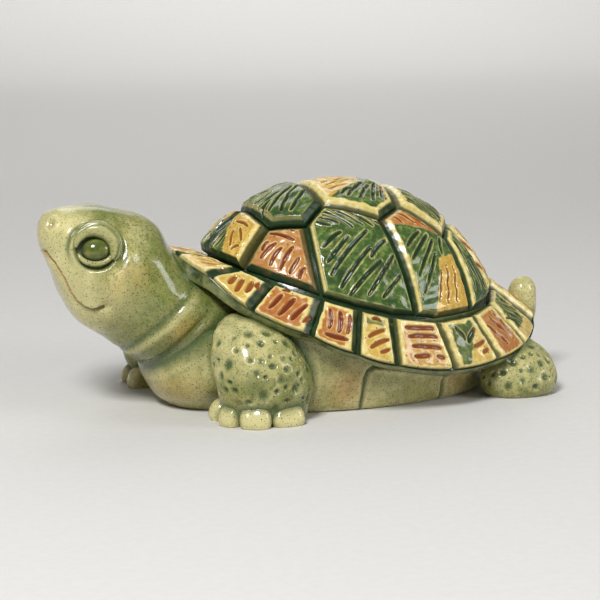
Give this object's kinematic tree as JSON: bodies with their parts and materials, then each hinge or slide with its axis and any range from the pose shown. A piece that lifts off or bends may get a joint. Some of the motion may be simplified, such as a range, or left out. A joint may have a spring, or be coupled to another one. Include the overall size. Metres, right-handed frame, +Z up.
{
  "type": "ceramic turtle figurine",
  "caption": "Free-standing glazed earthenware turtle with a domed shell of carved scutes, a flaring tiled rim, raised head, pitted legs and a short tail.",
  "frame": {"origin": "middle of the bounding box, on the floor under the flat base and the feet", "axes": "+X towards the tail along the body, +Y towards the turtle's right side, +Z up"},
  "size_m": [0.183, 0.1014, 0.075],
  "materials": {
    "groove_glaze": "gloss dark green glaze pooled in the grooves",
    "body_glaze": "gloss pale celadon glaze with fine dark specks",
    "head_glaze": "gloss pale celadon glaze with fine dark specks",
    "leg_glaze": "gloss celadon glaze, green in the pits",
    "eye_glaze": "gloss olive glaze",
    "green_glaze": "gloss green glaze over carved strokes",
    "terracotta_glaze": "gloss terracotta glaze over carved strokes",
    "ochre_glaze": "gloss ochre yellow glaze over carved strokes"
  },
  "bodies": {
    "root": {"carapace": "groove_glaze", "crown_scute_front": "green_glaze", "crown_scute_middle": "green_glaze", "crown_scute_rear": "green_glaze", "eyeball_left": "eye_glaze", "eyeball_right": "eye_glaze", "front_leg_left": "leg_glaze", "front_leg_right": "leg_glaze", "front_toes_left": "body_glaze", "front_toes_right": "body_glaze", "head_and_neck": "head_glaze", "lower_body": "body_glaze", "lower_eyelid_left": "head_glaze", "lower_eyelid_right": "head_glaze", "rear_leg_left": "leg_glaze", "rear_leg_right": "leg_glaze", "rim_tile_left_1": "ochre_glaze", "rim_tile_left_2": "ochre_glaze", "rim_tile_left_3": "terracotta_glaze", "rim_tile_left_4": "terracotta_glaze", "rim_tile_left_5": "green_glaze", "rim_tile_left_6": "terracotta_glaze", "rim_tile_left_7": "green_glaze", "rim_tile_left_8": "terracotta_glaze", "rim_tile_left_9": "green_glaze", "rim_tile_neck": "terracotta_glaze", "rim_tile_right_1": "ochre_glaze", "rim_tile_right_2": "ochre_glaze", "rim_tile_right_3": "terracotta_glaze", "rim_tile_right_4": "terracotta_glaze", "rim_tile_right_5": "green_glaze", "rim_tile_right_6": "terracotta_glaze", "rim_tile_right_7": "green_glaze", "rim_tile_right_8": "terracotta_glaze", "rim_tile_right_9": "green_glaze", "rim_tile_tail": "terracotta_glaze", "side_scute_flank_left": "green_glaze", "side_scute_flank_right": "green_glaze", "side_scute_hip_left": "green_glaze", "side_scute_hip_right": "green_glaze", "side_scute_neck_left": "green_glaze", "side_scute_neck_right": "green_glaze", "side_scute_rear_left": "green_glaze", "side_scute_rear_right": "green_glaze", "side_scute_shoulder_left": "terracotta_glaze", "side_scute_shoulder_right": "terracotta_glaze", "side_scute_tail_left": "terracotta_glaze", "side_scute_tail_right": "terracotta_glaze", "tail": "body_glaze", "upper_eyelid_left": "head_glaze", "upper_eyelid_right": "head_glaze"}
  },
  "joints": []
}
